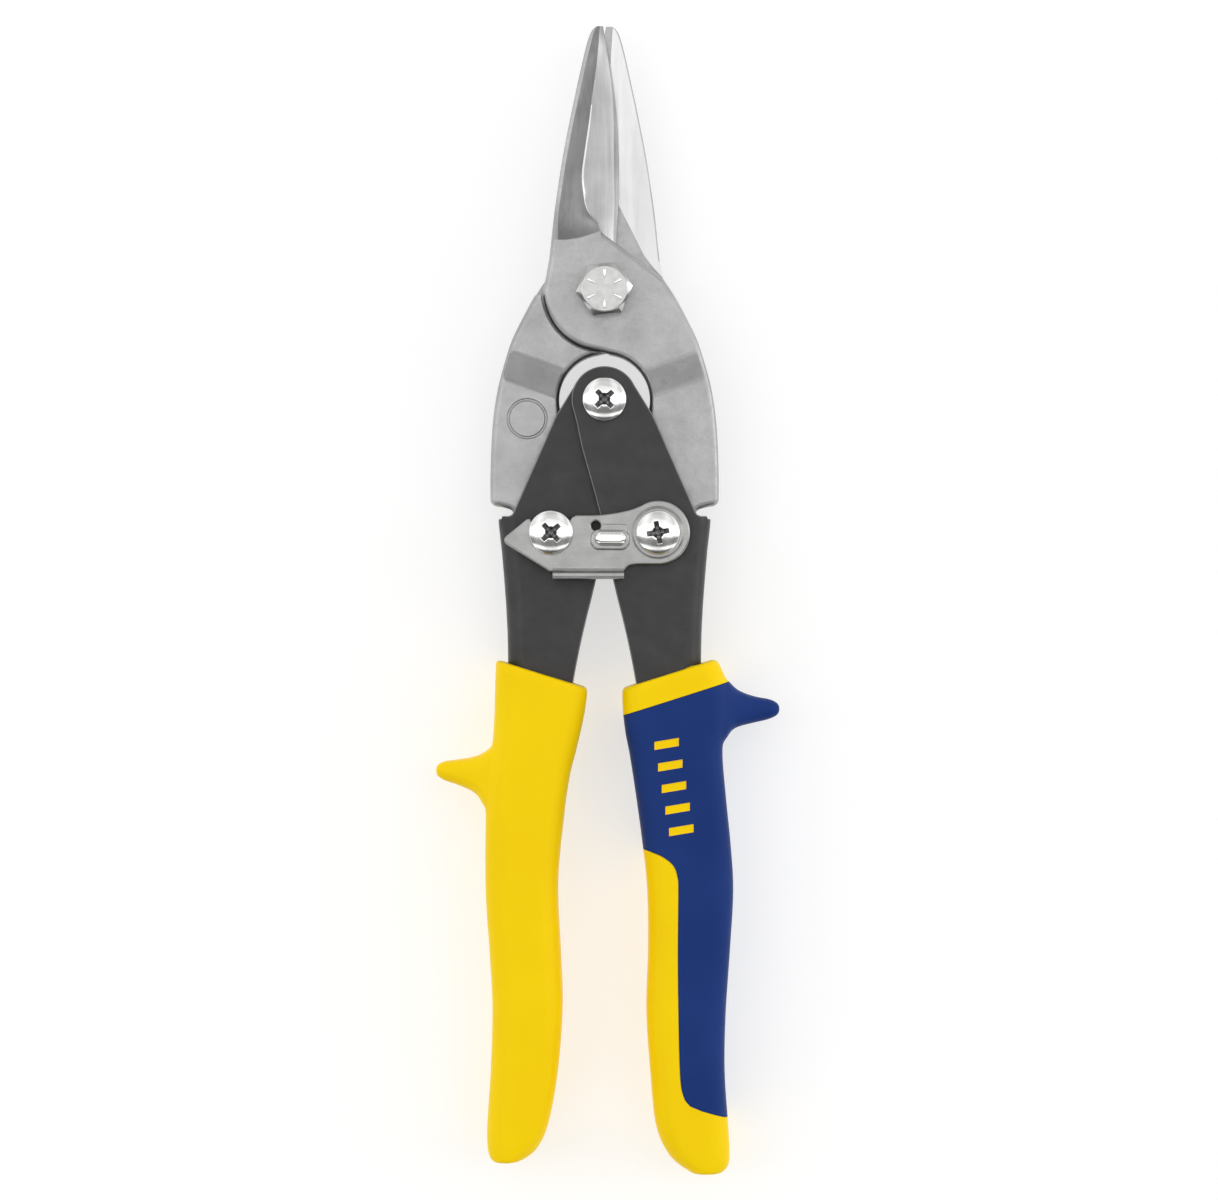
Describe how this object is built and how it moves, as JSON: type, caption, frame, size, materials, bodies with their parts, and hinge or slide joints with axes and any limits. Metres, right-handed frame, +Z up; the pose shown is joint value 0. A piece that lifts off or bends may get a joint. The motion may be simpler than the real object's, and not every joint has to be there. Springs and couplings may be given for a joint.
{
  "type": "aviation snips",
  "caption": "Straight-cut compound-action tin snips: two forged jaws on a hex bolt, linked channel handles, swinging latch and moulded grips with thumb stops.",
  "frame": {"origin": "centre of the whole tool's outline, on the plane the tool lies on", "axes": "+Y towards the blade tips, +Z up out of the front face with the bolt head and the latch, +X to the right"},
  "size_m": [0.0763, 0.2542, 0.0232],
  "materials": {
    "forged_steel": "blasted satin, ground on the blades",
    "plated_steel": "bright zinc plating",
    "latch_steel": "satin nickel plating",
    "spring_steel": "drawn wire",
    "dark_steel": "dark phosphate, satin",
    "yellow_grip": "moulded vinyl, satin",
    "blue_grip": "moulded soft cover, matte"
  },
  "bodies": {
    "front_jaw": {"front_jaw": "forged_steel", "pivot_bolt": "plated_steel", "pivot_washer": "plated_steel", "pivot_nut": "plated_steel", "opening_spring": "spring_steel"},
    "back_jaw": {"back_jaw": "forged_steel"},
    "right_handle": {"right_handle": "dark_steel", "centre_screw": "plated_steel", "centre_spacer": "plated_steel", "centre_nut": "plated_steel", "right_screw": "plated_steel", "right_nut": "plated_steel", "right_grip": "yellow_grip", "right_grip_overmould": "blue_grip"},
    "left_handle": {"left_handle": "dark_steel", "left_screw": "plated_steel", "left_nut": "plated_steel", "left_grip": "yellow_grip"},
    "latch": {"latch": "latch_steel", "latch_washer": "plated_steel"}
  },
  "joints": [
    {"name": "jaw_pivot", "type": "hinge", "parent": "front_jaw", "child": "back_jaw", "pos_m": [-0.0008, 0.0684, 0.011], "axis": [0, 0, -1], "range_deg": [0, 22], "deforming": ["opening_spring"]},
    {"name": "right_handle_pivot", "type": "hinge", "parent": "front_jaw", "child": "right_handle", "pos_m": [0.011, 0.0146, 0.011], "axis": [0, 0, 1], "range_deg": [0, 10.5]},
    {"name": "left_handle_pivot", "type": "hinge", "parent": "back_jaw", "child": "left_handle", "pos_m": [-0.0126, 0.0146, 0.011], "axis": [0, 0, -1], "range_deg": [0, 10.5]},
    {"name": "latch_pivot", "type": "hinge", "parent": "right_handle", "child": "latch", "pos_m": [0.011, 0.0146, 0.0193], "axis": [0, 0, 1], "range_deg": [0, 67]}
  ],
  "couplings": [
    {"joint": "right_handle_pivot", "follows": "jaw_pivot", "ratio": 0.4675},
    {"joint": "left_handle_pivot", "follows": "jaw_pivot", "ratio": 0.4675},
    {"joint": "latch_pivot", "follows": "jaw_pivot", "ratio": 3}
  ]
}
